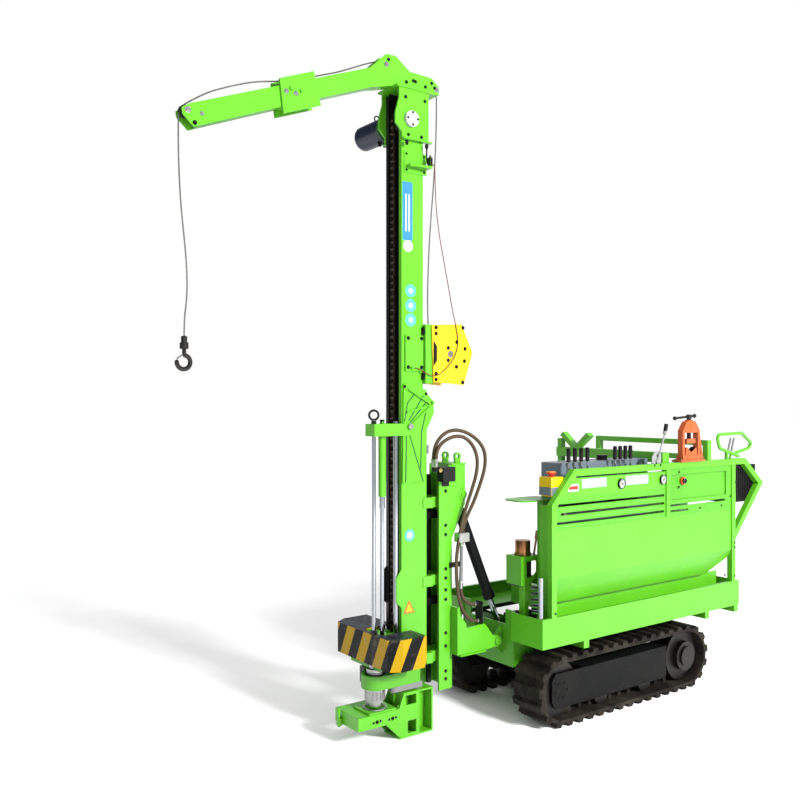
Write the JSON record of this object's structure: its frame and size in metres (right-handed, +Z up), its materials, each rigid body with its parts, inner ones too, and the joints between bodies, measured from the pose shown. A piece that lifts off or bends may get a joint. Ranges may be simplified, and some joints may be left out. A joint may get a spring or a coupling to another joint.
{
  "type": "soil investigation drill rig",
  "caption": "Compact crawler drill rig with a tilting, sliding mast, feed chain, rotary head with spindle, rod clamp, winch, jib and hoist rope, and a side console.",
  "frame": {"origin": "on the ground, midway along and across the machine's outline, the hanging rope left out", "axes": "+X forward towards the mast and jib, +Y to the operator's console side, +Z up"},
  "size_m": [4.206, 0.992, 3.835],
  "materials": {
    "track_rubber": "matt, dusty",
    "black_steel": "semi-gloss",
    "dark_steel": "oily",
    "dark_green": "gloss",
    "lime_green": "gloss",
    "gauge_face": "clear front, black rim",
    "lever_black": "moulded",
    "tank_grey": "semi-gloss",
    "engine_grey": "rough",
    "vise_orange": "semi-gloss",
    "stop_yellow": "moulded",
    "chrome": "polished",
    "chain_steel": "oily",
    "motor_blue": "semi-gloss",
    "winch_yellow": "gloss",
    "rope_steel": "stranded",
    "guard_stripes": "yellow with black slanted bands",
    "light_steel": "bare",
    "hose_rubber": "smooth, slightly dusty",
    "wire_red": "thin insulation"
  },
  "bodies": {
    "machine": {"track_left": "track_rubber", "track_right": "track_rubber", "track_frames": "black_steel", "idlers": "dark_steel", "rollers": "dark_steel", "drives": "dark_steel", "chassis_frame": "dark_green", "deck_frame": "lime_green", "side_frame": "lime_green", "lower_panel": "lime_green", "slotted_panel": "dark_green", "gauge_panel": "lime_green", "gauges": "gauge_face", "recess_panel": "dark_green", "front_cover": "lime_green", "lever_bank": "lever_black", "hydraulic_tank": "tank_grey", "engine_block": "engine_grey", "engine_cover": "lime_green", "oil_cooler": "black_steel", "rod_rest": "lime_green", "rear_frame": "lime_green", "right_panel": "lime_green", "pipe_vise": "vise_orange", "throttle_lever": "lever_black", "rear_handle": "black_steel", "stop_box": "stop_yellow", "shelf": "dark_green", "valve_stand": "lime_green", "coupler_post": "chrome"},
    "support": {"mast_support": "lime_green", "support_brackets": "lime_green", "support_manifold": "black_steel", "slide_barrel": "black_steel", "support_hoses": "hose_rubber"},
    "tilt_barrel": {"tilt_barrel": "black_steel"},
    "tilt_rod": {"tilt_rod": "chrome"},
    "mast": {"slide_rod": "chrome", "mast_column": "lime_green", "ring_arm": "dark_green", "crosshead": "lime_green", "feed_barrel": "black_steel", "feed_chain": "chain_steel", "chain_wheels": "dark_steel", "mast_head": "lime_green", "feed_motor": "motor_blue", "jib": "lime_green", "jib_tip": "lime_green", "pulleys": "dark_steel", "winch_frame": "winch_yellow", "mast_foot": "lime_green", "clamp_box": "lime_green", "hoist_rope": "rope_steel", "hook": "dark_steel", "mast_wire": "wire_red"},
    "drum": {"winch_drum": "rope_steel"},
    "head": {"head_gearbox": "dark_green", "head_guard": "guard_stripes", "head_rods": "chrome"},
    "spindle": {"spindle": "light_steel"}
  },
  "joints": [
    {"name": "mast_tilt", "type": "hinge", "parent": "machine", "child": "support", "pos_m": [0.1575, 0, 0.46], "axis": [0, -1, 0], "range_deg": [0, 50]},
    {"name": "tilt_cylinder_swing", "type": "hinge", "parent": "support", "child": "tilt_barrel", "pos_m": [0.3795, 0, 1.345], "axis": [0, -1, 0], "range_deg": [-2.2, 0.2]},
    {"name": "tilt_cylinder_stroke", "type": "slide", "parent": "tilt_barrel", "child": "tilt_rod", "axis": [0.4027, 0, 0.9153], "range_m": [-0.001, 0.16]},
    {"name": "mast_slide", "type": "slide", "parent": "support", "child": "mast", "axis": [0, 0, 1], "range_m": [0, 0.4]},
    {"name": "winch_turn", "type": "hinge", "parent": "mast", "child": "drum", "pos_m": [0.4875, 0, 2.165], "axis": [0, 1, 0], "continuous": true},
    {"name": "head_feed", "type": "slide", "parent": "mast", "child": "head", "axis": [0, 0, 1], "range_m": [0, 0.37]},
    {"name": "spindle_turn", "type": "hinge", "parent": "head", "child": "spindle", "pos_m": [0.9425, 0, 0.3], "axis": [0, 0, 1], "continuous": true}
  ],
  "couplings": [
    {"joint": "tilt_cylinder_swing", "follows": "mast_tilt", "ratio": -0.04078},
    {"joint": "tilt_cylinder_stroke", "follows": "mast_tilt", "m_per_rad": 0.17937}
  ]
}
